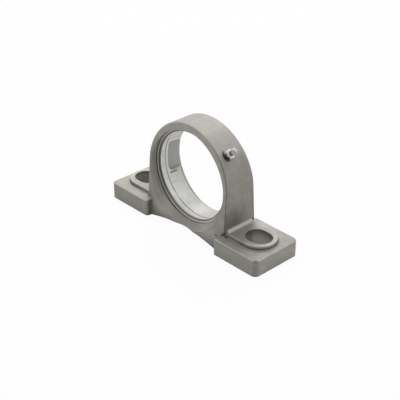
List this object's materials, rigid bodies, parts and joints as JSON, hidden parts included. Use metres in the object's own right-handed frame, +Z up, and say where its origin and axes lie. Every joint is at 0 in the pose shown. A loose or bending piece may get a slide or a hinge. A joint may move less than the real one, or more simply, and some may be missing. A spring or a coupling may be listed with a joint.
{
  "type": "pillow block housing",
  "caption": "Cast stainless pillow block housing with a spherical bearing seat, slotted bolt feet, loading slots and a grease nipple.",
  "frame": {"origin": "on the base plane, straight under the middle of the bore", "axes": "+X from foot to foot towards the grease nipple, +Y along the bore towards the loading slots, +Z up"},
  "size_m": [0.19, 0.053, 0.104],
  "materials": {
    "casting": "blasted, matte",
    "nipple": "turned, bright",
    "ball": "polished",
    "spring": "drawn wire"
  },
  "bodies": {
    "casting": {"housing": "casting", "grease_nipple_body": "nipple", "grease_nipple_spring": "spring"},
    "check_ball": {"grease_nipple_ball": "ball"}
  },
  "joints": [
    {"name": "ball_slide", "type": "slide", "parent": "casting", "child": "check_ball", "axis": [-0.766, 0, -0.6428], "range_m": [0, 0.0008], "stiffness_N_per_m": 500, "springref_m": -0.0005, "deforming": ["grease_nipple_spring"]}
  ]
}
